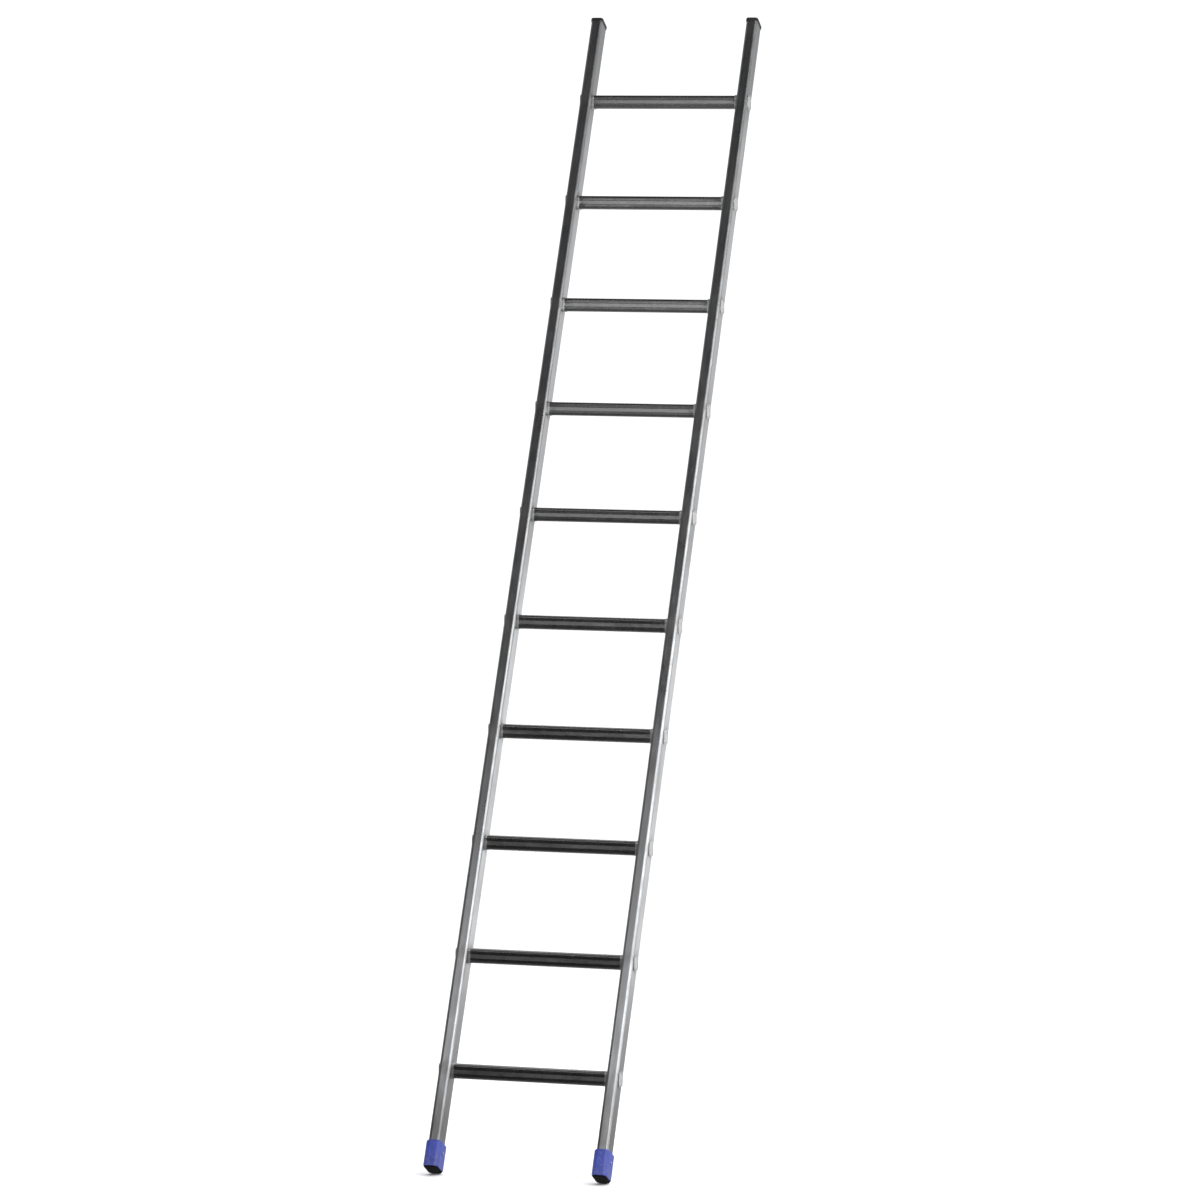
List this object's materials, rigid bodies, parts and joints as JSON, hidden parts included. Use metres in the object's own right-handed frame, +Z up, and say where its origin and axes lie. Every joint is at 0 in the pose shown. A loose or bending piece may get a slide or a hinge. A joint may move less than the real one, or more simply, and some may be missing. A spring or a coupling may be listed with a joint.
{
  "type": "leaning ladder",
  "caption": "Single-section aluminium leaning ladder with box-section stiles, square ribbed rungs and plastic boots, at its leaning angle.",
  "frame": {"origin": "on the floor, midway between the feet, on the line where the heels of the two rubber treads touch it", "axes": "+Z up as the ladder is used, +X to the climber's right, +Y towards the wall; the stiles lean back 25 degrees from +Z towards +Y, so the rungs' treads are level"},
  "size_m": [0.4366, 1.3086, 2.7254],
  "materials": {
    "stile": "mill-finish extrusion, fine lines along its length, light scuffs",
    "rung": "dull dark mill-finish extrusion with fluted tread, polished by use on the edges",
    "boot": "blue moulded plastic, fine grain",
    "tread_rubber": "black rubber, slotted",
    "cap": "black moulded plastic",
    "plug": "light grey moulded plastic",
    "rivet": "bright aluminium blind rivet with a steel stem end"
  },
  "bodies": {
    "root": {"foot_left": "boot", "foot_right": "boot", "foot_rivets_left": "rivet", "foot_rivets_right": "rivet", "foot_tread_left": "tread_rubber", "foot_tread_right": "tread_rubber", "rung_01": "rung", "rung_02": "rung", "rung_03": "rung", "rung_04": "rung", "rung_05": "rung", "rung_06": "rung", "rung_07": "rung", "rung_08": "rung", "rung_09": "rung", "rung_10": "rung", "rung_plugs_left": "plug", "rung_plugs_right": "plug", "stile_left": "stile", "stile_right": "stile", "top_cap_left": "cap", "top_cap_right": "cap"}
  },
  "joints": []
}
